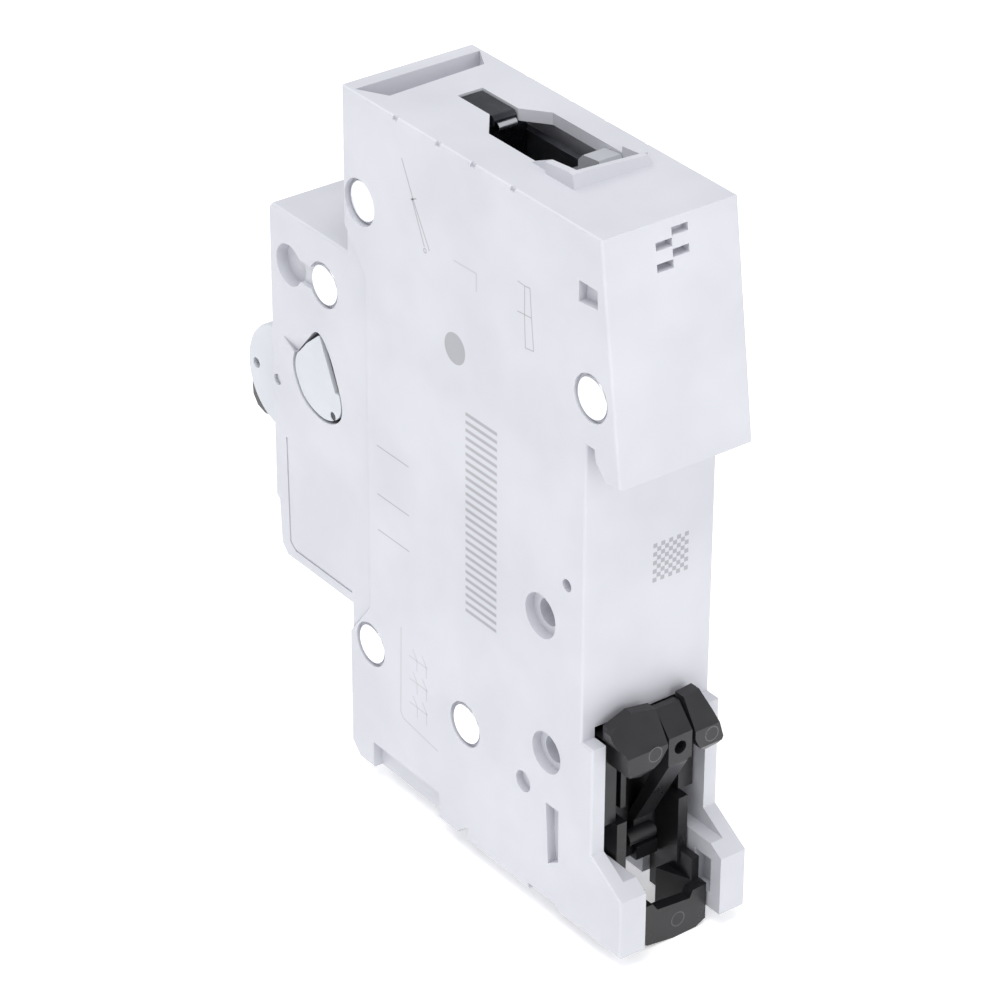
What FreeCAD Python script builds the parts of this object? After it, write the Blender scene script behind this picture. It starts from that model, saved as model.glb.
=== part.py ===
"""One-module miniature circuit breaker for a 35 mm top-hat rail, in millimetres.

The origin is the centre of the rail seat: x = 0 is the middle of the width, y = 0 is the seat's
plane and z = 0 is the rail's centre line. The nose and the toggle face -Y, the rail is on the +Y
side, and +Z is up. The breaker is drawn switched off, with its terminals open.
"""
import FreeCAD, Part

import math
import os

V = FreeCAD.Vector
X_AXIS = V(1, 0, 0)
Y_AXIS = V(0, 1, 0)
Z_AXIS = V(0, 0, 1)

# Driving dimensions of the case.
HALF_W = 17.5 / 2
HALF_H = 85.0 / 2
NOSE_HALF = 45.0 / 2
SHOULDER_Y = -43.0
NOSE_Y = -58.2
STEP_Y = -39.1
STEP_DEPTH = 0.35
LEG_Y = 1.95
FOOT_Y = 7.3
BLOCK_Y = 5.7
SEAT_TOP = 18.3
SEAT_LOW = -18.2
HOOK_Z = 15.5
EDGE_R = 0.35
WALL = 1.4
MARKER_DEPTH = 2.2
CAVITY_W = HALF_W - 1.3
CHANNEL_Y = -4.0
CHANNEL_W = 6.9
CHANNEL_TOP = -16.9
FOOT_GAP_W = 5.2
FOOT_GAP_Z = -34.0
HEEL_W = 3.4
HEEL_Y = -7.8
HEEL_Z = -39.6

# Rivets, as (y, z).
RIVETS = [(-39.9, 29.8), (-47.6, 16.4), (0.7, 24.1), (-38.9, -25.8), (-20.8, -27.0)]
RIVET_R = 1.5
COUPLING_HOLE = (-7.3, -5.9)
LOWER_HOLE = (-6.0, -22.7)
PEG_R = 1.6
RIVET_HEAD_R = 2.45
RIVET_HEAD_T = 0.42
RIVET_SINK = 0.5
PEG_SEAT = 1.2
KEYHOLE = (-54.3, 16.1)
LEVER_PIN = (-46.3, 0.4)

# Toggle.
PIVOT = (-57.2, 0.3)
PIN_R = 0.62
DRUM_R = 6.6
DRUM_SHIFT = 0.9
DRUM_W = 7.6
POCKET_R = 7.85
POCKET_W = 7.75
OFF_ANGLE = math.radians(40)
CRANK_R = 4.8
LINK_R = 0.6
TIE_R = 5.5
TIE_ANGLE = math.radians(5.4)

# Contact arm and its linkage.
ARM_PIVOT = (-34.0, -14.0)
ARM_CLOSED = math.radians(61.1)
ARM_THROW = math.radians(23.8)
LINK_END = (-41.0, -6.5)
TRIP_PIVOT = (-36.5, 4.0)
LATCH_PIVOT = (-38.0, -9.5)

# Terminals, drawn for the upper one and mirrored in z for the lower one.
TERM_X = -1.0
TERM_Z = 35.0
OPEN_HALF = 4.2
OPEN_FRONT = -24.2
OPEN_REAR = -9.4
BAR_FACE = -27.2
BAR_T = 0.9
HOOD_Z = 44.2
HOOD_W = 0.9
SCREW_R = 2.2
SCREW_HEAD = (-38.4, -36.9)

# Magnetic trip.
COIL_Z = 14.0
COIL_FRONT = -25.3
COIL_REAR = -10.7


def block(x0, x1, y0, y1, z0, z1):
    """A box between two corners."""
    return Part.makeBox(x1 - x0, y1 - y0, z1 - z0, V(x0, y0, z0))


def prism(outline, x0, x1):
    """A (y, z) outline extruded from x0 to x1."""
    corners = [V(x0, y, z) for y, z in outline]
    return Part.Face(Part.makePolygon(corners + corners[:1])).extrude(V(x1 - x0, 0, 0))


def plan(outline, z0, z1):
    """An (x, y) outline extruded from z0 to z1."""
    corners = [V(x, y, z0) for x, y in outline]
    return Part.Face(Part.makePolygon(corners + corners[:1])).extrude(V(0, 0, z1 - z0))


def section(outline, y0, y1):
    """An (x, z) outline extruded from y0 to y1."""
    corners = [V(x, y0, z) for x, z in outline]
    return Part.Face(Part.makePolygon(corners + corners[:1])).extrude(V(0, y1 - y0, 0))


def bar_x(centre, radius, x0, x1):
    """A round bar along X at a (y, z) centre."""
    return Part.makeCylinder(radius, x1 - x0, V(x0, centre[0], centre[1]), X_AXIS)


def bar_y(x, z, radius, y0, y1):
    """A round bar along Y."""
    return Part.makeCylinder(radius, y1 - y0, V(x, y0, z), Y_AXIS)


def bar_z(x, y, radius, z0, z1):
    """A round bar along Z."""
    return Part.makeCylinder(radius, z1 - z0, V(x, y, z0), Z_AXIS)


def rounded(shape, radius, wanted):
    """The shape with a radius on each edge whose middle passes the test."""
    edges = [edge for edge in shape.Edges if wanted(edge.CenterOfMass)]
    return shape.makeFillet(radius, edges)


def helix(radius, wire, length, turns, place):
    """A helical spring of round wire, its axis along Z before it is placed."""
    path = Part.Wire(Part.makeHelix(length / turns, length, radius).Edges)
    profile = Part.Wire([Part.makeCircle(wire / 2, V(radius, 0, 0), Y_AXIS)])
    spring = path.makePipeShell([profile], True, True)
    spring.Placement = place
    return spring


def polar(centre, radius, angle):
    """The (y, z) point at an angle about a centre."""
    return (centre[0] + radius * math.cos(angle), centre[1] + radius * math.sin(angle))


def mirrored(shape):
    """The shape reflected top to bottom, for the lower terminal."""
    return shape.mirror(V(0, 0, 0), Z_AXIS)


def save(name, shape):
    """Write one sub-part."""
    shape.exportStep("parts/" + name + ".step")


# ---------------------------------------------------------------- case

def case_outer():
    """The whole outside form: body and slightly narrower nose, with softened side edges."""
    body = [
        (SHOULDER_Y, HALF_H), (SHOULDER_Y, NOSE_HALF + 3.5), (STEP_Y, 20.9), (STEP_Y, -20.9),
        (SHOULDER_Y, -NOSE_HALF - 3.5), (SHOULDER_Y, -HALF_H + 1.6), (SHOULDER_Y + 1.6, -HALF_H),
        (FOOT_Y, -HALF_H), (FOOT_Y, -35.1), (LEG_Y, -31.9), (LEG_Y, SEAT_LOW), (0, SEAT_LOW),
        (0, SEAT_TOP), (1.25, SEAT_TOP), (1.5, 17.0), (3.2, HOOK_Z - 0.2), (BLOCK_Y, HOOK_Z),
        (LEG_Y, HALF_H),
    ]
    nose = [
        (SHOULDER_Y, NOSE_HALF + 3.5), (SHOULDER_Y, NOSE_HALF), (NOSE_Y + 0.6, NOSE_HALF),
        (NOSE_Y, NOSE_HALF - 0.6), (NOSE_Y, -15.2), (NOSE_Y + 0.6, -15.7), (NOSE_Y + 0.9, -21.3),
        (NOSE_Y + 2.1, -NOSE_HALF), (SHOULDER_Y, -NOSE_HALF), (SHOULDER_Y, -NOSE_HALF - 3.5),
        (STEP_Y + 1, -20.0), (STEP_Y + 1, 20.0),
    ]
    nose_w = HALF_W - STEP_DEPTH
    body_form = rounded(prism(body, -HALF_W, HALF_W), EDGE_R, lambda c: abs(c.x) > HALF_W - 0.01)
    nose_form = rounded(prism(nose, -nose_w, nose_w), EDGE_R, lambda c: abs(c.x) > nose_w - 0.01)
    return body_form.fuse(nose_form)


def case_cavity():
    """The space inside the case, lower behind the marker groove."""
    groove_floor = HALF_H - MARKER_DEPTH - WALL
    outline = [
        (SHOULDER_Y + WALL, groove_floor), (SHOULDER_Y + WALL, NOSE_HALF - WALL),
        (NOSE_Y + WALL, NOSE_HALF - WALL), (NOSE_Y + WALL, -15.0), (NOSE_Y + 2.3, -21.1),
        (SHOULDER_Y + WALL, -21.1), (SHOULDER_Y + WALL, -HALF_H + WALL),
        (HEEL_Y - WALL, -HALF_H + WALL), (HEEL_Y - WALL, HEEL_Z + WALL),
        (CHANNEL_Y - WALL, HEEL_Z + WALL), (CHANNEL_Y - WALL, CHANNEL_TOP + WALL),
        (-WALL, CHANNEL_TOP + WALL), (-WALL, 20.2), (3.4, 20.2), (0.7, HALF_H - WALL),
        (SHOULDER_Y + 6.1, HALF_H - WALL), (SHOULDER_Y + 6.1, groove_floor),
    ]
    pocket = bar_x(PIVOT, POCKET_R, -POCKET_W, POCKET_W)
    return prism(outline, -CAVITY_W, CAVITY_W).fuse(pocket)


def case_bosses():
    """Pillars round the rivets, and the backing of the blind holes in both sides."""
    root = CAVITY_W + 0.2
    pillars = [bar_x(place, 2.6, -root, root) for place in RIVETS]
    backed = ((COUPLING_HOLE, 3.4, 5.6), (LOWER_HOLE, 3.2, 5.6), (KEYHOLE, 3.4, 6.0))
    for place, radius, inner in backed:
        pillars.append(bar_x(place, radius, inner, root))
        pillars.append(bar_x(place, radius, -root, -inner))
    pillars.append(bar_x(ARM_PIVOT, 2.0, 6.0, root))
    return pillars


def terminal_mouth():
    """The opening in the top wall: a narrow slot that widens to the conductor's way in."""
    left = TERM_X - OPEN_HALF
    right = TERM_X + OPEN_HALF
    outline = [
        (-2.9, -33.5), (0.4, -33.5), (0.4, -27.8), (right, OPEN_FRONT), (right, OPEN_REAR),
        (left, OPEN_REAR), (left, OPEN_FRONT), (-2.9, -27.2),
    ]
    return plan(outline, HALF_H - WALL - 0.5, HOOD_Z + 1)


def hood():
    """The raised barrier round the rear of the upper opening: near wall, rear wall and far return."""
    inner = TERM_X + OPEN_HALF
    outer = inner + HOOD_W
    far = TERM_X - OPEN_HALF
    low = HALF_H - 0.5
    back = OPEN_REAR + 1.1
    near = [
        (-13.3, low), (-13.3, HALF_H + 1.3), (OPEN_REAR, HOOD_Z), (back - 0.5, HOOD_Z - 0.1),
        (back, low),
    ]
    foot = [(-16.2, low), (-16.2, HALF_H), (-13.3, HALF_H + 1.3), (-13.3, low)]
    rim = [
        (far - 1.2, low), (far - 0.9, HALF_H), (far - 0.3, HOOD_Z - 0.6), (outer, HOOD_Z),
        (outer, low),
    ]
    lean = [(OPEN_REAR, low), (OPEN_REAR, HOOD_Z), (back - 0.5, HOOD_Z - 0.1), (back, low)]
    fin = [(-12.5, low), (-12.5, HALF_H + 0.7), (OPEN_REAR, HOOD_Z - 0.7), (OPEN_REAR, low)]
    rear = section(rim, OPEN_REAR, back).common(prism(lean, -HALF_W, outer))
    walls = prism(near, inner, outer).fuse(prism(foot, inner, inner + HOOD_W / 2))
    return walls.fuse(rear).fuse(prism(fin, far - 0.9, far))


def side_cuts(side):
    """Recesses in one side face; side is 1 for the right face and -1 for the left."""
    body_x = side * HALF_W
    nose_x = side * (HALF_W - STEP_DEPTH)

    def hole(centre, radius, face, depth):
        low, high = sorted((face - side * depth, face + side))
        return bar_x(centre, radius, low, high)

    def panel(outline, face, depth):
        low, high = sorted((face - side * depth, face + side))
        return prism(outline, low, high)

    cuts = []
    for y, z in RIVETS:
        face = nose_x if y < STEP_Y else body_x
        cuts.append(hole((y, z), RIVET_HEAD_R + 0.3, face, RIVET_SINK))
    cuts.append(hole(COUPLING_HOLE, 2.65, body_x, PEG_SEAT))
    cuts.append(hole(COUPLING_HOLE, PEG_R, body_x, 2.6))
    cuts.append(hole(LOWER_HOLE, 2.5, body_x, PEG_SEAT))
    cuts.append(hole(LOWER_HOLE, PEG_R, body_x, 2.6))
    cuts.append(hole((-2.8, 0.1), 0.75, body_x, 1.0))
    cuts.append(hole((-10.1, -28.7), 1.3, body_x, 0.9))
    cuts.append(panel([(-6.0, -29.2), (-3.7, -29.2), (-3.7, -35.9), (-5.5, -37.0)], body_x, 1.1))
    cuts.append(panel([(-1.5, 36.7), (1.5, 36.7), (1.6, 34.6), (-1.5, 34.3)], body_x, 1.0))
    # the keyhole: a round pocket necked towards the nearest rivet
    y, z = KEYHOLE
    cuts.append(hole(KEYHOLE, 2.5, nose_x, 1.5))
    cuts.append(panel([(y, z + 1.5), (y + 5.5, z + 1.5), (y + 5.5, z - 1.2), (y, z - 1.2)], nose_x, 0.6))
    cuts.append(panel([(-38.6, -50), (-38.6, -39.0), (-25.8, -39.0), (-25.8, -50)], body_x, 1.2))
    cuts.append(panel([(-23.8, -50), (-22.4, -42.3), (-20.4, -40.7), (-19.8, -50)], body_x, 4.0))
    cuts.append(panel([(-9.0, -50), (-9.0, -41.7), (-4.0, -41.7), (-3.4, -50)], body_x, 4.0))
    for y in (-33.2, -25.6, -19.5, -12.7):
        cuts.append(panel([(y - 0.4, 42.0), (y + 0.4, 42.0), (y + 0.4, 50), (y - 0.4, 50)], body_x, 0.3))
    cuts.append(hole(PIVOT, PIN_R + 0.06, nose_x, 3.0))
    groove = [(-55.6, -6.5), (-55.3, -20.3), (-54.3, -21.0), (SHOULDER_Y, -21.0)]
    half_line = 0.15
    for (y0, z0), (y1, z1) in zip(groove[:-1], groove[1:]):
        run = math.hypot(y1 - y0, z1 - z0)
        ny = -(z1 - z0) / run * half_line
        nz = (y1 - y0) / run * half_line
        strip = [(y0 + ny, z0 + nz), (y1 + ny, z1 + nz), (y1 - ny, z1 - nz), (y0 - ny, z0 - nz)]
        cuts.append(panel(strip, nose_x, half_line))
    return cuts


def accessory_window():
    """The half-oval window through the right wall, with a sloped pocket at its upper corner."""
    face = HALF_W - STEP_DEPTH + 0.05
    opening = window_face(0.0, POCKET_W - 0.8).extrude(V(HALF_W - POCKET_W + 1.8, 0, 0))
    corner = [V(face, y, z) for y, z in ((-56.0, 6.7), (-49.7, 9.7), (-53.6, 5.4))]
    sloped = Part.Face(Part.makePolygon(corner + corner[:1])).extrude(V(-0.65, 2.0, -1.4))
    return opening.fuse(sloped)


def window_face(inset, x):
    """The window's face at one x: a straight upper edge and a round belly, shrunk by an inset."""
    middle = V(x, -49.2, 4.2)
    outline = [
        (-49.7, 9.65), (-48.6, 9.9), (-47.3, 8.9), (-46.2, 7.2), (-45.2, 5.0), (-44.4, 2.7),
        (-44.5, 1.1), (-45.6, -0.2), (-47.6, -1.0), (-49.5, -0.95), (-51.0, -0.5), (-52.3, 0.3),
        (-53.1, 1.3), (-53.7, 2.4), (-54.0, 3.6), (-53.9, 4.7), (-53.6, 5.5),
    ]
    points = []
    for y, z in outline:
        reach = V(x, y, z) - middle
        points.append(middle + reach * (1 - inset / reach.Length))
    curve = Part.BSplineCurve()
    curve.interpolate(points)
    return Part.Face(Part.Wire([curve.toShape(), Part.LineSegment(points[-1], points[0]).toShape()]))


def rail_channel():
    """The clip's channel between the legs, notched forwards at the heel."""
    upper = block(-CHANNEL_W, CHANNEL_W, CHANNEL_Y, FOOT_Y + 5, FOOT_GAP_Z, CHANNEL_TOP)
    lower = block(-FOOT_GAP_W, FOOT_GAP_W, CHANNEL_Y, FOOT_Y + 5, -HALF_H - 5, FOOT_GAP_Z)
    pocket = block(-6.6, 6.6, 2.8, 5.6, -40.5, -36.0)
    heel = block(-HEEL_W, HEEL_W, HEEL_Y, CHANNEL_Y + 1, -HALF_H - 5, HEEL_Z)
    return upper.fuse(lower).fuse(pocket).fuse(heel)


def make_case():
    """The two shells, parted at the middle of the width."""
    case = case_outer().fuse(hood()).cut(case_cavity())
    case = case.fuse(case_bosses())
    case = case.common(case_outer().fuse(hood()))
    cuts = side_cuts(1) + side_cuts(-1) + [accessory_window(), rail_channel()]
    cuts += [terminal_mouth(), mirrored(terminal_mouth())]
    cuts += [bar_x(place, RIVET_R, -HALF_W, HALF_W) for place in RIVETS]
    # the way in for a screwdriver, one above and one below
    for z in (TERM_Z, -TERM_Z):
        cuts.append(bar_y(TERM_X, z, 3.3, SHOULDER_Y - 1, SHOULDER_Y + WALL + 0.5))
    # the slot that the toggle swings in
    cuts.append(block(-POCKET_W, POCKET_W, NOSE_Y - 1, PIVOT[0], PIVOT[1] - 7.85, PIVOT[1] + 7.85))
    # the indicator's window, stepped to hold its lens
    cuts.append(block(-2.6, 2.6, NOSE_Y - 1, NOSE_Y + 2, 13.3, 16.7))
    cuts.append(block(-3.2, 3.2, NOSE_Y + 0.1, NOSE_Y + 1.0, 12.9, 17.1))
    # the marker groove behind the top front lip
    marker = [(-8.2, -41.2), (8.15, -41.2), (6.2, -37.7), (-6.6, -38.2)]
    cuts.append(plan(marker, HALF_H - MARKER_DEPTH, HALF_H + 1))
    # staggered vents high on the back
    for x0, x1, z in ((-2.1, 0.0, 41.0), (0.0, 2.1, 39.9), (-2.1, 0.0, 38.7), (0.0, 2.1, 37.6)):
        cuts.append(block(x0, x1, 1.2, FOOT_Y, z - 0.45, z + 0.45))
    case = case.cut(cuts)
    save("housing_left", case.common(block(-HALF_W - 1, 0, -70, 20, -60, 60)))
    save("housing_right", case.common(block(0, HALF_W + 1, -70, 20, -60, 60)))


def make_rivets():
    """Five rivets, each with a flat rounded head at both ends."""
    rivets = []
    for y, z in RIVETS:
        end = HALF_W - RIVET_SINK
        if y < STEP_Y:
            end -= STEP_DEPTH
        rivet = bar_x((y, z), RIVET_R, -end, end)
        for side in (-1, 1):
            low, high = sorted((side * end, side * (end + RIVET_HEAD_T)))
            head = bar_x((y, z), RIVET_HEAD_R, low, high)
            rivet = rivet.fuse(rounded(head, 0.25, lambda c, e=end: abs(c.x) > e + 0.4))
        rivets.append(rivet)
    save("rivets", Part.makeCompound(rivets))


# ---------------------------------------------------------------- toggle

def make_toggle():
    """The hub drum, its dark handle, pin, spring and link."""
    handle_way = math.pi + OFF_ANGLE
    tie_hole = polar(PIVOT, TIE_R, math.pi + TIE_ANGLE)
    crank = polar(PIVOT, CRANK_R, OFF_ANGLE)
    drum = bar_x(polar(PIVOT, DRUM_SHIFT, handle_way), DRUM_R, -DRUM_W, DRUM_W)
    drum = rounded(drum, 0.4, lambda c: abs(c.x) > DRUM_W - 0.01)
    drum = drum.cut(bar_x(PIVOT, PIN_R + 0.06, -HALF_W, HALF_W))
    drum = drum.cut(bar_x(tie_hole, 0.65, -HALF_W, HALF_W))
    drum = drum.cut(bar_x(crank, LINK_R + 0.06, -2.6, 2.6))
    slot = block(-1.3, 1.3, 2.0, 12, -12, 12)
    slot.rotate(V(0, 0, 0), X_AXIS, math.degrees(OFF_ANGLE))
    slot.translate(V(0, PIVOT[0], PIVOT[1]))
    drum = drum.cut(slot)
    drum = drum.cut(bar_x(PIVOT, 3.2, 2.6, 6.2))
    socket = prism([(6.0, 3.9), (12.0, 3.9), (12.0, -3.9), (6.0, -3.9)], -5.55, 5.55)
    save("toggle", drum.cut(on_handle(socket)))
    save("toggle_cap", handle())
    save("toggle_pin", bar_x(PIVOT, PIN_R, -8.1, 8.1))
    place = FreeCAD.Placement(V(2.9, PIVOT[0], PIVOT[1]), FreeCAD.Rotation(Y_AXIS, 90))
    save("toggle_spring", helix(2.2, 0.5, 3.0, 5, place))
    save("link_rod", link_rod(crank))


def on_handle(form):
    """A form drawn along +Y from the pivot, turned to where the handle points when off."""
    form.rotate(V(0, 0, 0), X_AXIS, 180 + math.degrees(OFF_ANGLE))
    form.translate(V(0, PIVOT[0], PIVOT[1]))
    return form


def handle():
    """The dark handle: a tapering grip set into the drum."""
    half = [(6.05, 3.8), (7.4, 3.8), (9.4, 3.3), (11.4, 2.1), (12.3, 0.8)]
    outline = half + [(u, -v) for u, v in reversed(half)]
    form = prism(outline, -5.5, 5.5)
    return on_handle(rounded(form, 0.5, lambda c: c.y > 8.5))


def link_rod(crank):
    """A wire link with a cross pin at each end."""
    start = V(0, crank[0], crank[1])
    finish = V(0, LINK_END[0], LINK_END[1])
    rod = Part.makeCylinder(LINK_R, (finish - start).Length, start, finish - start)
    rod = rod.fuse(bar_x(crank, LINK_R, -2.5, 2.5))
    return rod.fuse(bar_x(LINK_END, LINK_R, -3.4, 3.4))


# ---------------------------------------------------------------- contacts

def arm_frame(u, v, angle):
    """A (y, z) point u along the contact arm and v to its closing side, at an arm angle."""
    y = ARM_PIVOT[0] + u * math.cos(angle) + v * math.sin(angle)
    z = ARM_PIVOT[1] + u * math.sin(angle) - v * math.cos(angle)
    return (y, z)


def arm_outline(corners, angle):
    """Corners in the arm's frame as (y, z) points."""
    return [arm_frame(u, v, angle) for u, v in corners]


def contact_button(u, v0, v1, radius, angle):
    """A round contact on the closing side of the arm, between two offsets."""
    y0, z0 = arm_frame(u, v0, angle)
    y1, z1 = arm_frame(u, v1, angle)
    start = V(0, y0, z0)
    direction = V(0, y1 - y0, z1 - z0)
    return Part.makeCylinder(radius, direction.Length, start, direction)


def make_contacts():
    """The moving arm with its carrier, and the fixed contact that it closes on."""
    off = ARM_CLOSED + ARM_THROW
    arm = prism(arm_outline([(-2.2, -1.0), (17.4, -1.0), (17.4, 1.0), (-2.2, 1.0)], off), -1.6, 1.6)
    arm = arm.fuse(bar_x(ARM_PIVOT, 2.2, -1.6, 1.6)).cut(bar_x(ARM_PIVOT, 1.05, -3, 3))
    save("contact_arm", arm)
    save("moving_contact", contact_button(15.0, 1.0, 1.8, 1.5, off))
    save("fixed_contact", contact_button(15.0, 1.85, 2.65, 1.6, ARM_CLOSED))
    strip = arm_outline([(12.5, 2.65), (21.5, 2.65), (21.5, 3.65), (12.5, 3.65)], ARM_CLOSED)
    bar = prism(strip, -2.4, 2.4)
    top = arm_frame(21.5, 3.15, ARM_CLOSED)
    bar = bar.fuse(block(-2.4, 2.4, top[0] - 0.5, top[0] + 0.7, top[1] - 0.5, COIL_Z - 6.6))
    save("fixed_contact_bar", bar)
    cheeks = contact_carrier()
    save("contact_carrier", cheeks)
    save("arm_pin", bar_x(ARM_PIVOT, 1.0, -7.4, 6.0))
    place = FreeCAD.Placement(V(0, -38.2, -8.6), FreeCAD.Rotation(X_AXIS, -90))
    save("contact_spring", helix(1.0, 0.35, 2.6, 4, place))


def contact_carrier():
    """The moulded carrier: two cheeks beside the arm, slotted for the link's lower pin."""
    outline = [
        (-35.8, -16.2), (-31.8, -15.8), (-31.6, -10.5), (-35.5, -6.0), (-39.5, -3.4), (-43.2, -4.2),
        (-43.4, -7.6),
    ]
    cheeks = prism(outline, -3.2, -2.0).fuse(prism(outline, 2.0, 3.2))
    bridge = block(-2.0, 2.0, -39.4, -38.6, -10.8, -7.8)
    cheeks = cheeks.fuse(bridge)
    slot = block(-4, 4, -42.1, -38.3, LINK_END[1] - 0.75, LINK_END[1] + 0.75)
    slot = rounded(slot, 0.7, lambda c: abs(c.x) < 0.1)
    cheeks = cheeks.cut(slot)
    return cheeks.cut(bar_x(ARM_PIVOT, 1.05, -4, 4))


def make_arc_chute():
    """Splitter plates between fibre cheeks, and the two arc runners."""
    plates = []
    for number in range(8):
        z = -19.6 + 1.75 * number
        plate = block(-5.0, 5.0, -21.0, -8.0, z, z + 0.8)
        notch = plan([(-2.6, -22.0), (2.6, -22.0), (0.4, -16.0), (-0.4, -16.0)], z - 1, z + 2)
        plates.append(plate.cut(notch))
    save("arc_plates", Part.makeCompound(plates))
    cheeks = [block(x, x + 0.4, -21.4, -7.6, -20.4, -5.9) for x in (-5.45, 5.05)]
    save("arc_cheeks", Part.makeCompound(cheeks))
    runner = [(-25.0, -5.7), (-9.0, -5.7), (-9.0, -4.95), (-25.2, -4.95)]
    save("upper_arc_runner", prism(runner, -2.4, 2.4))
    save("lower_arc_runner", block(-2.4, 1.9, -27.1, -9.0, -22.2, -21.4))


# ---------------------------------------------------------------- trip unit

def make_mechanism():
    """The steel side plate, trip lever, latch and their pins."""
    outline = [
        (-45.0, -10.0), (-44.0, 12.0), (-33.0, 12.0), (-31.5, -5.0), (-31.0, -17.5), (-37.0, -17.5),
    ]
    plate = prism(outline, -7.4, -6.9)
    plate = plate.cut(bar_x(ARM_PIVOT, 1.0, -8, 0)).cut(bar_x(TRIP_PIVOT, 0.8, -8, 0))
    save("mechanism_plate", plate)
    save("trip_pin", bar_x(TRIP_PIVOT, 0.8, -7.4, CAVITY_W))
    save("latch_pin", bar_x(LATCH_PIVOT, 0.7, 3.6, CAVITY_W))

    hub = bar_x(TRIP_PIVOT, 1.9, -6.6, 5.0)
    blade_outline = [
        (-37.8, 5.4), (-35.3, 5.4), (-31.5, 9.6), (-30.2, 12.0), (-30.2, 16.5), (-31.6, 16.5),
        (-32.4, 11.0),
    ]
    finger_outline = [
        (-37.3, 2.3), (-38.2, 4.9), (-43.5, 1.6), (-44.8, -3.2), (-43.6, -3.6), (-42.3, 0.0),
    ]
    blade = prism(blade_outline, -2.4, 2.4)
    finger = prism(finger_outline, -6.6, -3.6)
    lever = hub.fuse(blade).fuse(finger).cut(bar_x(TRIP_PIVOT, 0.85, -8, 8))
    save("trip_lever", lever)

    strip = [(-39.0, -10.2), (-37.0, -10.2), (-36.9, -1.5), (-36.0, 0.9), (-37.6, 1.5), (-38.6, -1.5)]
    latch = prism(strip, 3.7, 5.0).fuse(bar_x(LATCH_PIVOT, 1.5, 3.7, 5.0))
    save("latch", latch.cut(bar_x(LATCH_PIVOT, 0.75, 0, 8)))
    place = FreeCAD.Placement(V(4.0, -38.9, 6.2), FreeCAD.Rotation())
    save("trip_spring", helix(0.9, 0.3, 5.2, 6, place))


def make_magnet():
    """The coil on its bobbin, in a steel yoke, with its plunger."""
    spool = bar_y(0, COIL_Z, 3.2, COIL_FRONT, COIL_REAR)
    for y in (COIL_FRONT, COIL_REAR - 0.8):
        spool = spool.fuse(bar_y(0, COIL_Z, 5.4, y, y + 0.8))
    save("bobbin", spool.cut(bar_y(0, COIL_Z, 2.6, COIL_FRONT - 1, COIL_REAR + 1)))

    turns = 7
    start = COIL_FRONT + 0.85
    pitch = (COIL_REAR - COIL_FRONT - 1.7) / turns
    rings = [bar_y(0, COIL_Z, 4.2, start, start + pitch * turns)]
    for number in range(turns):
        middle = V(0, start + pitch * (number + 0.5), COIL_Z)
        rings.append(Part.makeTorus(4.2, pitch * 0.42, middle, Y_AXIS))
    winding = rings[0].fuse(rings[1:]).cut(bar_y(0, COIL_Z, 3.22, COIL_FRONT, COIL_REAR))
    save("coil", winding)

    front = block(-4.5, 4.5, COIL_FRONT - 1.0, COIL_FRONT, COIL_Z - 6.6, COIL_Z + 5.6)
    floor = block(-4.5, 4.5, COIL_FRONT - 1.0, COIL_REAR + 1.0, COIL_Z - 6.6, COIL_Z - 5.6)
    rear = block(-4.5, 4.5, COIL_REAR, COIL_REAR + 1.0, COIL_Z - 6.6, COIL_Z + 5.6)
    yoke = front.fuse(floor).fuse(rear).cut(bar_y(0, COIL_Z, 2.6, COIL_FRONT - 2, COIL_FRONT + 0.5))
    save("yoke", yoke)

    plunger = bar_y(0, COIL_Z, 2.52, -27.0, -17.5).fuse(bar_y(0, COIL_Z, 1.0, -28.9, -27.0))
    save("plunger", plunger)
    place = FreeCAD.Placement(V(0, -17.25, COIL_Z), FreeCAD.Rotation(X_AXIS, -90))
    save("plunger_spring", helix(1.7, 0.5, 6.2, 5, place))
    save("coil_lead", bar_z(0, -13.0, 0.8, COIL_Z + 5.38, 22.0))


def make_bimetal():
    """The bimetal strip on its bracket, with the calibration screw and the flexible braid."""
    save("bimetal", block(-6.6, -2.6, -46.4, -45.6, -19.2, -0.6))
    bracket = block(-6.6, -2.6, -49.6, -35.0, -20.0, -19.2)
    bracket = bracket.fuse(block(-6.6, -2.6, -49.6, -48.4, -19.2, -14.6))
    save("bimetal_bracket", bracket.cut(bar_y(-4.6, -17.0, 1.1, -51, -47)))
    screw = bar_y(-4.6, -17.0, 1.1, -54.0, -46.45).fuse(bar_y(-4.6, -17.0, 1.7, -54.6, -53.4))
    save("calibration_screw", screw.cut(block(-6.4, -2.8, -55.0, -54.0, -17.3, -16.7)))

    radius = 3.0
    first = [V(-4.6, -45.6, -7.0), V(-4.6, -43.6, -7.0)]
    bend = V(-4.6, -43.6 + radius * math.sin(math.pi / 4), -7.0 - radius * (1 - math.cos(math.pi / 4)))
    turn = V(-4.6, -43.6 + radius, -7.0 - radius)
    last = V(-4.6, -43.6 + radius, -13.0)
    path = Part.Wire([Part.LineSegment(*first).toShape(), Part.Arc(first[1], bend, turn).toShape(),
                      Part.LineSegment(turn, last).toShape()])
    profile = Part.Wire([Part.makeCircle(0.8, first[0], Y_AXIS)])
    save("braid", path.makePipeShell([profile], True, True))


# ---------------------------------------------------------------- terminals

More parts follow.
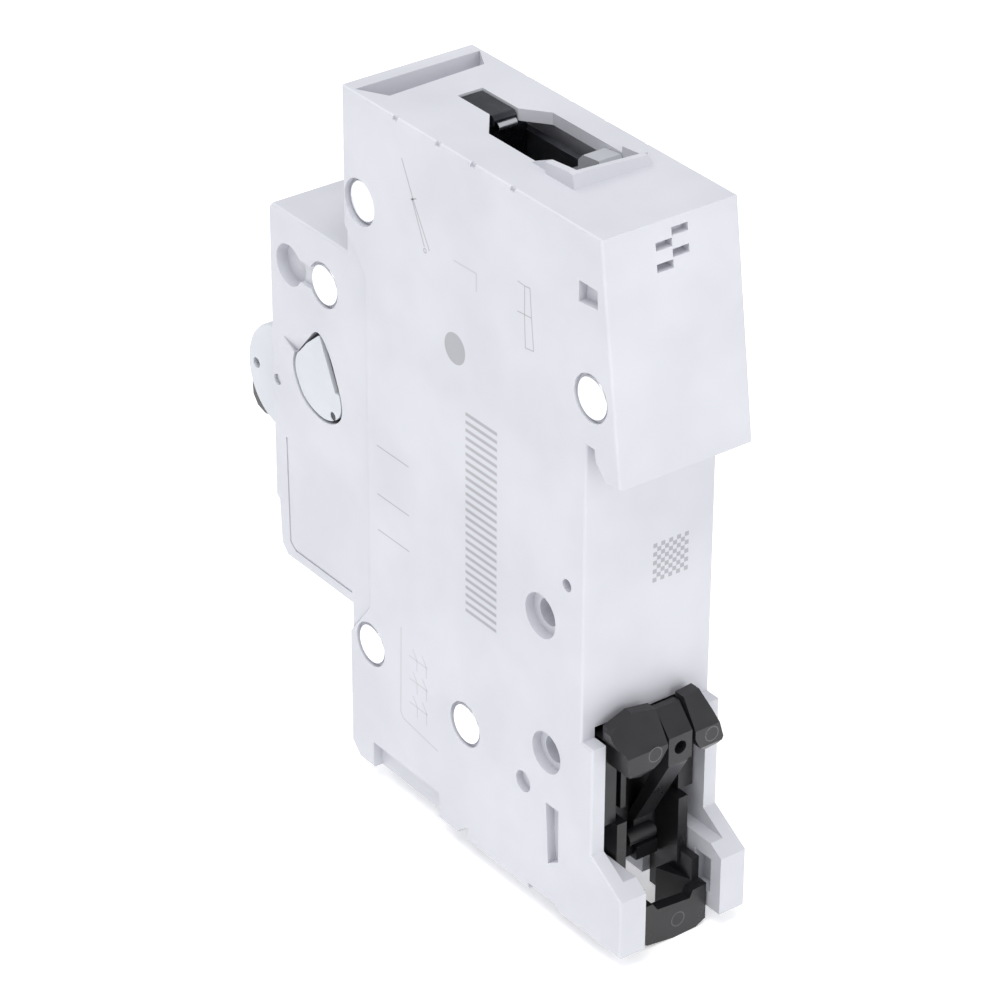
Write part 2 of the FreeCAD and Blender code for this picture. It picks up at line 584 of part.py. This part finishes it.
def cage():
    """The upper clamp cage, open along Z, at its open position."""
    left = TERM_X - OPEN_HALF
    right = TERM_X + OPEN_HALF
    body = block(left, right, -29.9, -16.0, TERM_Z - 4.5, TERM_Z + 4.5)
    body = rounded(body, 0.8, lambda c: abs(c.z - TERM_Z) < 0.1)
    body = body.cut(block(left + 0.9, right - 0.9, -28.3, -17.5, TERM_Z - 6, TERM_Z + 6))
    return body.cut(bar_y(TERM_X, TERM_Z, SCREW_R + 0.07, -31, -28))


def screw():
    """The upper clamp screw, its cross-slotted head down the well behind the front wall."""
    top, seat = SCREW_HEAD
    form = bar_y(TERM_X, TERM_Z, SCREW_R, seat, -28.12).fuse(bar_y(TERM_X, TERM_Z, 2.5, top, seat))
    for half_x, half_z in ((2.0, 0.4), (0.4, 2.0)):
        slot = block(-half_x, half_x, top - 1, top + 0.9, TERM_Z - half_z, TERM_Z + half_z)
        slot.translate(V(TERM_X, 0, 0))
        form = form.cut(slot)
    return form


def bar_inside(reach):
    """The upper conductor: a tongue in the narrow slot, folded down through the cage."""
    tongue = block(-2.7, 0.2, -33.3, BAR_FACE, 41.4, 42.3)
    tongue = rounded(tongue, 0.6, lambda c: abs(c.y - BAR_FACE) < 0.01 and c.z > 42)
    fold = block(-2.7, 0.2, BAR_FACE - BAR_T, BAR_FACE, 40.9, 41.4)
    face = block(-4.0, 2.0, BAR_FACE - BAR_T, BAR_FACE, reach, 40.9)
    return tongue.fuse(fold).fuse(face)


def shutter():
    """The grey tab that part-fills the rear of the upper opening, low behind its crest."""
    roof = [
        (-16.0, 39.7), (-16.0, 41.2), (-15.2, 42.0), (-12.6, 42.3), (-11.6, 41.0),
        (OPEN_REAR - 0.1, 41.0), (OPEN_REAR - 0.1, 39.7),
    ]
    return prism(roof, -5.1, -2.2)


def make_terminals():
    """Both terminals."""
    save("upper_cage", cage())
    save("lower_cage", mirrored(cage()))
    save("upper_screw", screw())
    save("lower_screw", mirrored(screw()))
    shelf = block(-4.0, 2.0, BAR_FACE - BAR_T, -12.0, 22.0, 22.9)
    save("upper_terminal_bar", bar_inside(22.0).fuse(shelf))
    shelf = block(-4.0, 2.0, -36.0, BAR_FACE, -20.9, -20.0)
    save("lower_terminal_bar", mirrored(bar_inside(20.0)).fuse(shelf))
    save("upper_shutter", shutter())
    save("lower_shutter", mirrored(shutter()))


# ---------------------------------------------------------------- front, side and rail fittings

def make_indicator():
    """The contact position flag and the clear lens in front of it."""
    save("position_flag", block(-2.9, 2.9, NOSE_Y + 2.1, NOSE_Y + 2.8, 9.3, 16.9))
    save("indicator_lens", block(-3.2, 3.2, NOSE_Y + 0.1, NOSE_Y + 1.0, 12.9, 17.1))


def make_coupling_lever():
    """The flush lever in the accessory window, on its small pin."""
    inner, outer = 7.82, HALF_W - STEP_DEPTH - 0.08
    lever = window_face(0.4, inner).extrude(V(outer - inner, 0, 0))
    # it stops short of the window's upper edge and of its rear flank
    corner = [(-55.0, 4.4), (-48.2, 10.1), (-55.0, 12.0)]
    flank = [(-49.3, 10.8), (-45.8, 3.6), (-43.0, 3.6), (-43.0, 12.0)]
    for outline in (corner, flank):
        lever = lever.cut(prism(outline, inner - 1, outer + 1))
    save("coupling_lever", lever.cut(bar_x(LEVER_PIN, 0.53, inner - 1, outer + 1)))
    save("coupling_pin", bar_x(LEVER_PIN, 0.5, 5.0, outer - 0.1))


def claw(plan_outline, profile, wing):
    """One hook head: its (x, z) outline, deep between the channel walls and shallow beyond them."""
    reach = CHANNEL_W - 0.2
    deep = prism(profile, -reach, reach)
    shallow = prism(wing, -HALF_W, HALF_W)
    return section(plan_outline, -3.0, 6.0).common(deep.fuse(shallow))


def make_clip():
    """The sprung rail clip: hook heads, middle leaf, side rails and a pull loop."""
    floor_y, slab_y = -3.8, -2.4
    top = CHANNEL_TOP - 0.5
    clip = block(-6.6, 6.6, floor_y, slab_y, -29.5, top)
    clip = clip.fuse(block(-4.9, 4.9, floor_y, slab_y, -38.0, -29.5))
    for side, crest in ((1, 1.0), (-1, 0.3)):
        low, high = sorted((side * 4.6, side * 6.6))
        clip = clip.fuse(block(low, high, slab_y, crest, -29.5, -19.0))
        low, high = sorted((side * 3.6, side * 4.9))
        clip = clip.fuse(block(low, high, slab_y, 1.7, -38.0, -29.5))
    clip = clip.fuse(block(2.7, 3.4, slab_y, crest, -28.7, -20.0))

    # the pull loop: a straight left wall, a sloped right wall and a notched back bar
    clip = clip.fuse(block(3.8, 4.9, floor_y, 5.3, -43.2, -36.4))
    slope = [(-4.9, floor_y), (-4.3, floor_y), (-4.3, -0.2), (-2.2, -0.2), (-4.0, 4.0), (-4.9, 5.3)]
    clip = clip.fuse(plan(slope, -44.0, -39.2)).fuse(block(-4.9, -3.9, floor_y, 3.9, -39.3, -36.4))
    back = [
        (4.9, -38.8), (2.6, -38.9), (1.9, -39.9), (-2.6, -40.3), (-3.0, -39.4), (-4.9, -39.3),
        (-4.9, -43.9), (-3.6, -44.6), (-0.5, -44.7), (3.2, -44.2), (4.9, -43.2),
    ]
    clip = clip.fuse(section(back, 3.9, 5.3))
    clip = clip.fuse(block(-3.6, -0.6, floor_y, -1.7, -38.4, -36.6))

    profile = [
        (1.15, -15.0), (2.2, -14.9), (4.7, -19.0), (4.7, -21.4), (3.6, -23.0), (slab_y - 0.2, -21.6),
        (slab_y - 0.2, -17.95), (1.15, -17.95),
    ]
    wing = [
        (LEG_Y + 0.1, -14.9), (2.2, -14.9), (4.7, -19.0), (4.7, -21.4), (3.6, -23.0),
        (LEG_Y + 0.1, -22.6),
    ]
    left_head = [
        (0.7, -15.6), (3.8, -15.1), (7.2, -16.3), (7.2, -16.9), (6.7, -18.0), (6.1, -18.6), (5.8, -21.4),
        (3.8, -22.3), (1.6, -20.9), (0.6, -19.5),
    ]
    right_head = [
        (-3.1, -15.6), (-5.3, -15.4), (-6.2, -17.9), (-7.1, -21.0), (-6.7, -21.9), (-5.1, -22.3),
        (-3.9, -21.4), (-3.2, -20.0),
    ]
    clip = clip.fuse(claw(left_head, profile, wing)).fuse(claw(right_head, profile, wing))
    leaf_head = [
        (1.15, -16.2), (2.2, -16.0), (4.6, -18.6), (4.6, -22.0), (3.4, -23.0), (2.4, -21.2), (1.15, -18.4),
    ]
    leaf = [(4.55, -21.0), (4.4, -22.4), (-1.2, -32.4), (slab_y - 0.1, -32.4), (3.0, -21.5)]
    clip = clip.fuse(prism(leaf_head, -2.8, 0.4)).fuse(prism(leaf, -2.4, 0.2))
    clip = clip.fuse(block(-2.4, 0.2, slab_y - 0.2, -1.3, -34.0, -31.8))
    clip = clip.fuse(bar_x((-1.0, -34.2), 0.9, -2.1, 1.6))
    save("din_clip", clip.cut(bar_y(-1.2, -20.2, 0.8, 3.0, 6.0)))


os.makedirs("parts", exist_ok=True)
make_case()
make_rivets()
make_toggle()
make_contacts()
make_arc_chute()
make_mechanism()
make_magnet()
make_bimetal()
make_terminals()
make_indicator()
make_coupling_lever()
make_clip()
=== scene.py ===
"""Looks for the rail-mounted circuit breaker: materials, marks, fine pieces, lights and camera."""

import math

import bmesh
import bpy
from mathutils import Matrix, Vector


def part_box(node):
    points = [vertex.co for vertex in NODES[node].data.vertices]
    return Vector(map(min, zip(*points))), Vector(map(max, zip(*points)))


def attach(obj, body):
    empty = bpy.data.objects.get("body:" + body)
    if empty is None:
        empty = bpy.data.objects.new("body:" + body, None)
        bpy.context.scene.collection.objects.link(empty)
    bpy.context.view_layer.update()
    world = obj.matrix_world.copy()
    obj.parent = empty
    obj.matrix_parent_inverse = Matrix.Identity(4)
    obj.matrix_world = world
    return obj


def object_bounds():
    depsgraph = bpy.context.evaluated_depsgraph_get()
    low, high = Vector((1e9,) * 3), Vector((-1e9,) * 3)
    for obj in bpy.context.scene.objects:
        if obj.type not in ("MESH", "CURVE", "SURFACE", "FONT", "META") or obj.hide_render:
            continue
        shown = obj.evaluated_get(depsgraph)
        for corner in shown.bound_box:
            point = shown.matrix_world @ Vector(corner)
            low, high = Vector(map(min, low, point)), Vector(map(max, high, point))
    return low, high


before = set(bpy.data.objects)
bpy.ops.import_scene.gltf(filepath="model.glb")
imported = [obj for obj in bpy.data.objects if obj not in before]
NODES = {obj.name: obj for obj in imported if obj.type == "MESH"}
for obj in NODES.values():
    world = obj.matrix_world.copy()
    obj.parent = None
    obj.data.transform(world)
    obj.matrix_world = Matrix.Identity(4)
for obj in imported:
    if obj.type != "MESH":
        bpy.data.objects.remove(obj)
cad_low, cad_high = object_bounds()

MM = 0.001

# Places that the frame gives: the right shell's flank, the clip's rear faces and the upper tongue,
# then how thick a printed mark is and how far it stands proud.
SIDE_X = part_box("housing_right")[1].x
CLIP_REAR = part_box("din_clip")[1].y
HEAD_REAR = CLIP_REAR - 0.6 * MM
TONGUE_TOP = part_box("upper_terminal_bar")[1].z
INK = 0.03 * MM
PROUD = 0.004 * MM

LAMP_SIZE = 0.6
LAMP_TARGET = Vector((0, -0.02, 0))


# ---------------------------------------------------------------- node helpers

def material(name):
    """A new node material, its shader and its tree."""
    made = bpy.data.materials.new(name)
    made.use_nodes = True
    return made, made.node_tree, made.node_tree.nodes["Principled BSDF"]


def node(tree, kind, **inputs):
    """Add a node and set its sockets by name."""
    new = tree.nodes.new(kind)
    for key, value in inputs.items():
        new.inputs[key.replace("_", " ")].default_value = value
    return new


def coordinates(tree, stretch=(1, 1, 1)):
    """Object coordinates, stretched per axis."""
    source = tree.nodes.new("ShaderNodeTexCoord")
    mapping = tree.nodes.new("ShaderNodeMapping")
    mapping.inputs["Scale"].default_value = stretch
    tree.links.new(source.outputs["Object"], mapping.inputs["Vector"])
    return mapping.outputs["Vector"]


def noise(tree, where, scale, detail=3.0, rough=0.5):
    """A noise value over the given coordinates."""
    made = node(tree, "ShaderNodeTexNoise", Scale=scale, Detail=detail, Roughness=rough)
    tree.links.new(where, made.inputs["Vector"])
    return made.outputs["Fac"]


def ramp(tree, value, low, high, start=0.0, stop=1.0):
    """A value carried from start..stop to low..high; both may be numbers or colours."""
    if isinstance(low, (int, float)):
        made = tree.nodes.new("ShaderNodeMapRange")
        made.inputs["From Min"].default_value = start
        made.inputs["From Max"].default_value = stop
        made.inputs["To Min"].default_value = low
        made.inputs["To Max"].default_value = high
        tree.links.new(value, made.inputs["Value"])
        return made.outputs["Result"]
    made = tree.nodes.new("ShaderNodeValToRGB")
    made.color_ramp.elements[0].position = start
    made.color_ramp.elements[0].color = (*low, 1)
    made.color_ramp.elements[1].position = stop
    made.color_ramp.elements[1].color = (*high, 1)
    tree.links.new(value, made.inputs["Fac"])
    return made.outputs["Color"]


def bumped(tree, shader, value, strength, distance):
    """Drive the shader's normal from a value."""
    made = node(tree, "ShaderNodeBump", Strength=strength, Distance=distance)
    tree.links.new(value, made.inputs["Height"])
    tree.links.new(made.outputs["Normal"], shader.inputs["Normal"])


def moulded(name, low, high, rough, grain=9000.0, depth=0.006, spread=0.05):
    """Moulded plastic: a faint cloud of tone, a fine spark-eroded grain and uneven gloss."""
    made, tree, shader = material(name)
    where = coordinates(tree)
    cloud = noise(tree, where, 90.0, 2.0)
    tree.links.new(ramp(tree, cloud, low, high, 0.35, 0.65), shader.inputs["Base Color"])
    grainy = noise(tree, where, grain, 2.0, 0.6)
    smear = noise(tree, where, 260.0, 4.0)
    gloss = ramp(tree, smear, rough - spread, rough + spread, 0.3, 0.7)
    tree.links.new(gloss, shader.inputs["Roughness"])
    bumped(tree, shader, grainy, 0.35, depth * MM)
    shader.inputs["IOR"].default_value = 1.5
    return made


def metal(name, low, high, rough, stretch=(1, 1, 1), scale=3000.0, spread=0.08, depth=0.004):
    """Plated or drawn metal with fine brushed streaks along the unstretched axes."""
    made, tree, shader = material(name)
    shader.inputs["Metallic"].default_value = 1.0
    streak = noise(tree, coordinates(tree, stretch), scale, 3.0, 0.6)
    cloud = noise(tree, coordinates(tree), 300.0, 3.0)
    tree.links.new(ramp(tree, cloud, low, high, 0.3, 0.7), shader.inputs["Base Color"])
    gloss = ramp(tree, streak, rough - spread, rough + spread, 0.25, 0.75)
    tree.links.new(gloss, shader.inputs["Roughness"])
    bumped(tree, shader, streak, 0.25, depth * MM)
    return made


# ---------------------------------------------------------------- materials

CASE = moulded("case_plastic", (0.54, 0.545, 0.588), (0.58, 0.585, 0.628), 0.42)
TOGGLE_GREY = moulded("toggle_plastic", (0.54, 0.56, 0.60), (0.58, 0.60, 0.64), 0.36)
TAB_GREY = moulded("tab_plastic", (0.38, 0.39, 0.42), (0.42, 0.43, 0.46), 0.40)
GRIP = moulded("grip_plastic", (0.040, 0.040, 0.044), (0.060, 0.060, 0.064), 0.20, 4000.0, 0.004, 0.05)
BLACK = moulded("clip_plastic", (0.007, 0.007, 0.008), (0.014, 0.014, 0.016), 0.36, 5000.0, 0.010, 0.10)
INNER_BLACK = moulded("inner_plastic", (0.018, 0.018, 0.020), (0.030, 0.030, 0.033), 0.45)
FIBRE = moulded("fibre", (0.30, 0.12, 0.06), (0.40, 0.18, 0.09), 0.70, 2500.0, 0.02)
NICKEL = metal("nickel", (0.76, 0.77, 0.80), (0.84, 0.85, 0.88), 0.24, (1, 1, 1), 900.0, 0.05, 0.006)
STEEL = metal("zinc_steel", (0.52, 0.53, 0.55), (0.64, 0.65, 0.67), 0.34, (1, 6, 1))
CAGE_STEEL = metal("cage_steel", (0.34, 0.35, 0.39), (0.44, 0.45, 0.49), 0.34, (1, 5, 1), 1500.0)
# Painted shade: the terminal bars are plated metal; their near-black colour stands for the shade inside the
# wire holes, and the coupling pin shares it.
STEEL_PAINTED_SHADE = metal("dark_steel", (0.055, 0.057, 0.068), (0.10, 0.105, 0.12), 0.26, (1, 5, 1), 1500.0)
SPRING = metal("spring_wire", (0.50, 0.50, 0.52), (0.62, 0.62, 0.64), 0.25)
COPPER = metal("copper", (0.66, 0.28, 0.16), (0.80, 0.40, 0.25), 0.30, (1, 4, 1))
BRASS = metal("bimetal_strip", (0.60, 0.50, 0.34), (0.70, 0.62, 0.46), 0.35, (1, 1, 5))
SILVER = metal("silver_alloy", (0.80, 0.80, 0.79), (0.90, 0.90, 0.89), 0.32)
SHUNT = metal("braided_copper", (0.55, 0.24, 0.13), (0.85, 0.45, 0.28), 0.40, (3, 1, 1), 2600.0, 0.10, 0.05)
CLIP_MARK = moulded("clip_mark", (0.050, 0.050, 0.053), (0.075, 0.075, 0.080), 0.30)
INK_GREY = moulded("grey_ink", (0.34, 0.34, 0.37), (0.38, 0.38, 0.41), 0.55)
# Painted shade: moulded relief marks are drawn darker than the case, standing for the shade along their
# edges.
RELIEF_SHADE_GREY = moulded("relief_painted_shade", (0.44, 0.45, 0.48), (0.47, 0.48, 0.51), 0.50)


def two_tone():
    """The position flag: green in the half that shows when off, red in the other."""
    made, tree, shader = material("flag_plastic")
    source = coordinates(tree)
    split = tree.nodes.new("ShaderNodeSeparateXYZ")
    tree.links.new(source, split.inputs["Vector"])
    low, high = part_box("position_flag")
    middle = (low.z + high.z) / 2
    colour = ramp(tree, ramp(tree, split.outputs["Z"], 0.0, 1.0, middle - 0.02 * MM, middle + 0.02 * MM),
                  (0.55, 0.03, 0.02), (0.03, 0.30, 0.08))
    tree.links.new(colour, shader.inputs["Base Color"])
    grain = noise(tree, source, 6000.0)
    tree.links.new(ramp(tree, grain, 0.35, 0.5), shader.inputs["Roughness"])
    bumped(tree, shader, grain, 0.3, 0.005 * MM)
    return made


def clear():
    """The indicator's clear lens, faintly cloudy."""
    made, tree, shader = material("clear_plastic")
    shader.inputs["Transmission Weight"].default_value = 1.0
    shader.inputs["IOR"].default_value = 1.49
    shader.inputs["Base Color"].default_value = (0.93, 0.96, 0.97, 1)
    haze = noise(tree, coordinates(tree), 1200.0)
    tree.links.new(ramp(tree, haze, 0.02, 0.12), shader.inputs["Roughness"])
    bumped(tree, shader, haze, 0.1, 0.004 * MM)
    return made


FLAG = two_tone()
LENS = clear()

FINISHES = {
    CASE: ["housing_right", "housing_left"],
    TOGGLE_GREY: ["toggle", "coupling_lever"],
    TAB_GREY: ["upper_shutter", "lower_shutter"],
    GRIP: ["toggle_cap"],
    BLACK: ["din_clip"],
    INNER_BLACK: ["trip_lever", "latch", "contact_carrier", "bobbin"],
    FIBRE: ["arc_cheeks"],
    NICKEL: ["rivets"],
    STEEL: ["toggle_pin", "mechanism_plate", "latch_pin", "trip_pin", "arm_pin", "arc_plates", "yoke",
            "plunger", "calibration_screw", "upper_screw", "lower_screw"],
    CAGE_STEEL: ["upper_cage", "lower_cage"],
    # The terminal bars and coupling pin take the near-black colour that is painted shade.
    STEEL_PAINTED_SHADE: ["upper_terminal_bar", "lower_terminal_bar", "coupling_pin"],
    SPRING: ["toggle_spring", "link_rod", "trip_spring", "contact_spring", "plunger_spring"],
    COPPER: ["contact_arm", "fixed_contact_bar", "upper_arc_runner", "lower_arc_runner", "coil",
             "coil_lead", "bimetal_bracket"],
    BRASS: ["bimetal"],
    SILVER: ["moving_contact", "fixed_contact"],
    SHUNT: ["braid"],
    FLAG: ["position_flag"],
    LENS: ["indicator_lens"],
}

for finish, names in FINISHES.items():
    for name in names:
        slots = NODES[name].data.materials
        slots.clear()
        slots.append(finish)


# ---------------------------------------------------------------- piece helpers

def plate(form, corners, push):
    """A thin solid: an outline of points pushed along a vector."""
    face = form.faces.new([form.verts.new(corner) for corner in corners])
    grown = bmesh.ops.extrude_face_region(form, geom=[face])["geom"]
    moved = [item for item in grown if isinstance(item, bmesh.types.BMVert)]
    bmesh.ops.translate(form, verts=moved, vec=push)


def piece(name, form, finish, body):
    """A named mesh piece from a filled bmesh, with its finish, riding on a body."""
    bmesh.ops.recalc_face_normals(form, faces=form.faces)
    mesh = bpy.data.meshes.new(name)
    form.to_mesh(mesh)
    form.free()
    mesh.materials.append(finish)
    made = bpy.data.objects.new(name, mesh)
    bpy.context.scene.collection.objects.link(made)
    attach(made, body)
    return made


def stroke(start, finish, width):
    """The corners of a straight line with a width, in a plane's own two axes."""
    start, finish = Vector(start), Vector(finish)
    across = (finish - start).orthogonal().normalized() * width / 2
    return [start + across, finish + across, finish - across, start - across]


def ring(centre, inner, outer, count=28):
    """Quads of a flat ring, or of a disc when the inner radius is nought."""
    quads = []
    for step in range(count):
        turn0, turn1 = (2 * math.pi * (step + extra) / count for extra in (0, 1))
        arms = [Vector((math.cos(turn), math.sin(turn))) for turn in (turn0, turn1)]
        quads.append([Vector(centre) + arms[0] * outer, Vector(centre) + arms[1] * outer,
                      Vector(centre) + arms[1] * inner, Vector(centre) + arms[0] * inner])
    return quads


def on_flank(name, outlines, finish):
    """Marks printed on the right flank from (y, z) outlines in millimetres."""
    form = bmesh.new()
    for outline in outlines:
        plate(form, [(SIDE_X + PROUD, y * MM, z * MM) for y, z in outline], (-INK, 0, 0))
    piece(name, form, finish, "case")


def on_back(name, outlines, level, finish, body="case"):
    """Marks on a rear face from (x, z) outlines in millimetres, at a y level in metres."""
    form = bmesh.new()
    for outline in outlines:
        plate(form, [(x * MM, level + PROUD, z * MM) for x, z in outline], (0, -INK, 0))
    piece(name, form, finish, body)


# ---------------------------------------------------------------- printed and moulded marks

def print_flank():
    """Generic marks: a panel of even bars, three rules, a disc, a switch symbol and a strip gauge."""
    pitch, count, top = 0.98, 26, 12.6
    levels = [top - number * pitch for number in range(count)]
    bars = [stroke((-20.7, z), (-15.1, z), 0.42) for z in levels]
    on_flank("flank_bars", bars, INK_GREY)
    rules = [stroke((-37.2, z), (-31.2, z), 0.14) for z in (1.1, -5.1, -9.7)]
    on_flank("flank_rules", rules, INK_GREY)
    on_flank("flank_disc", ring((-22.6, 19.6), 0.0, 1.85), INK_GREY)
    switch = [
        stroke((-32.0, 38.2), (-30.0, 34.2), 0.16), stroke((-30.2, 34.2), (-28.0, 29.4), 0.16),
        stroke((-30.0, 34.2), (-27.1, 29.3), 0.16), stroke((-30.4, 34.0), (-29.4, 34.5), 0.16),
    ]
    on_flank("flank_switch", switch + ring((-27.9, 29.0), 0.16, 0.32, 12), INK_GREY)
    gauge = [(-10.5, 32.2), (-9.6, 32.3), (-9.3, 29.0), (-8.9, 25.3), (-10.3, 25.1), (-10.5, 29.0)]
    lines = [stroke(a, b, 0.12) for a, b in zip(gauge, gauge[1:] + gauge[:1])]
    lines += [stroke((-11.7, 32.3), (-10.5, 32.2), 0.12), stroke((-11.7, 28.8), (-9.3, 29.0), 0.12)]
    on_flank("flank_gauge", lines, INK_GREY)


def emboss_flank():
    """Shallow moulded marks: a bracket, a part frame and three fork symbols, drawn as thin plates whose
    darker grey is painted shade of the relief.
    """
    bracket = [stroke((-22.8, 30.0), (-18.8, 30.1), 0.16), stroke((-18.8, 30.1), (-18.8, 28.0), 0.2)]
    on_flank("flank_bracket", bracket, RELIEF_SHADE_GREY)
    edge = [(-32.9, -20.4), (-33.1, -31.8), (-32.6, -32.5), (-26.0, -33.4)]
    frame_lines = [stroke(a, b, 0.16) for a, b in zip(edge, edge[1:])]
    on_flank("flank_frame", frame_lines, RELIEF_SHADE_GREY)
    forks = []
    for z in (-23.4, -26.4, -29.6):
        forks.append(stroke((-31.4, z), (-27.9, z), 0.13))
        for y in (-29.9, -28.1):
            forks.append(stroke((y, z + 0.1), (y, z - 1.4), 0.13))
            forks.append(stroke((y, z + 0.1), (y - 0.8, z + 1.2), 0.13))
    on_flank("flank_forks", forks, RELIEF_SHADE_GREY)


def print_seat():
    """A plain even chequer on the rail seat."""
    squares = []
    size, cells = 0.53, 9
    left, top = -0.5, 3.2
    for column in range(cells):
        for row in range(cells):
            if (column + row) % 2 == 0:
                x, z = left - column * size, top - row * size
                squares.append([(x, z), (x - size, z), (x - size, z - size), (x, z - size)])
    on_back("seat_chequer", squares, 0.0, INK_GREY)


def mark_clip():
    """Ejector marks: a fine ring on each hook head and one on the back bar."""
    for name, centre, level in (("left", (2.3, -19.7), HEAD_REAR), ("right", (-5.45, -20.1), HEAD_REAR),
                                ("bar", (-1.0, -42.4), CLIP_REAR)):
        on_back("clip_ring_" + name, ring(centre, 0.80, 0.95), level, CLIP_MARK, "clip_body")


def paint_tongue_highlight():
    """A painted highlight: a thin bright nickel skin on the rounded fold where the upper tongue folds down
    behind the cage screw, lighter than the dark bar it lies on.
    """
    form = bmesh.new()
    radius, steps = 0.5 * MM, 12
    left, right = -2.5 * MM, -0.1 * MM
    start, sweep = -70, 165
    y, z = -27.25 * MM, TONGUE_TOP - 1.2 * MM
    for step in range(steps):
        first, last = (math.radians(start + sweep * (step + extra) / steps) for extra in (0, 1))
        rim = [(y + radius * math.cos(turn), z + radius * math.sin(turn)) for turn in (first, last)]
        corners = [(left, *rim[0]), (right, *rim[0]), (right, *rim[1]), (left, *rim[1])]
        middle = (first + last) / 2
        plate(form, corners, (0, -INK * math.cos(middle), -INK * math.sin(middle)))
    # The bright nickel skin is a painted highlight laid over the dark bar's fold.
    piece("tongue_painted_highlight", form, NICKEL, "case")


print_flank()
emboss_flank()
print_seat()
mark_clip()
paint_tongue_highlight()


# ---------------------------------------------------------------- floor, light and camera

def make_floor():
    """A plain pale floor under the object."""
    mesh = bpy.data.meshes.new("floor")
    reach = 6.0
    level = cad_low.z
    corners = [(x * reach, y * reach, level) for x, y in ((-1, -1), (1, -1), (1, 1), (-1, 1))]
    mesh.from_pydata(corners, [], [(0, 1, 2, 3)])
    floor = bpy.data.objects.new("floor", mesh)
    bpy.context.scene.collection.objects.link(floor)
    paint, tree, shader = material("floor_paint")
    tone = noise(tree, coordinates(tree), 3.0)
    tree.links.new(ramp(tree, tone, (0.93, 0.93, 0.93), (0.96, 0.96, 0.96)), shader.inputs["Base Color"])
    shader.inputs["Roughness"].default_value = 0.9
    shader.inputs["Emission Color"].default_value = (1, 1, 1, 1)
    shader.inputs["Emission Strength"].default_value = 0.3
    mesh.materials.append(paint)


def make_light(name, place, power):
    """A large soft lamp that faces the object's middle."""
    data = bpy.data.lights.new(name, "AREA")
    data.shape = "DISK"
    data.size = LAMP_SIZE
    data.energy = power
    lamp = bpy.data.objects.new(name, data)
    lamp.location = place
    lamp.rotation_euler = (LAMP_TARGET - Vector(place)).to_track_quat("-Z", "Y").to_euler()
    bpy.context.scene.collection.objects.link(lamp)


def make_camera():
    """The camera: azimuth and elevation of its line of sight, with its roll, distance and shift."""
    azimuth = math.radians(143.18)
    elevation = math.radians(30.68)
    roll = math.radians(0.26)
    distance = 0.4444
    back = Vector((math.sin(azimuth) * math.cos(elevation), -math.cos(azimuth) * math.cos(elevation),
                   math.sin(elevation)))
    right = Vector((0, 0, 1)).cross(back).normalized()
    up = back.cross(right)
    right_r = right * math.cos(roll) + up * math.sin(roll)
    up_r = back.cross(right_r)
    data = bpy.data.cameras.new("camera")
    data.sensor_width = 36.0
    data.lens = 152.1
    data.clip_start = 0.01
    camera = bpy.data.objects.new("camera", data)
    place = right_r * -0.01568 + up_r * 0.00755 + back * distance
    turn = Matrix((right_r, up_r, back)).transposed().to_4x4()
    camera.matrix_world = Matrix.Translation(place) @ turn
    bpy.context.scene.collection.objects.link(camera)
    bpy.context.scene.camera = camera


def make_world():
    """An even white surround."""
    world = bpy.data.worlds.new("studio")
    world.use_nodes = True
    world.node_tree.nodes["Background"].inputs["Color"].default_value = (0.97, 0.98, 1.0, 1)
    world.node_tree.nodes["Background"].inputs["Strength"].default_value = 0.55
    bpy.context.scene.world = world


bpy.context.scene.view_settings.view_transform = "Standard"
make_floor()
make_world()
make_light("overhead", (0.25, 0.20, 0.80), 4.0)
make_light("side", (0.80, 0.10, 0.25), 0.8)
make_light("rear", (0.0, 0.80, 0.30), 2.2)
make_light("front", (0.10, -0.60, 0.70), 2.2)
make_camera()
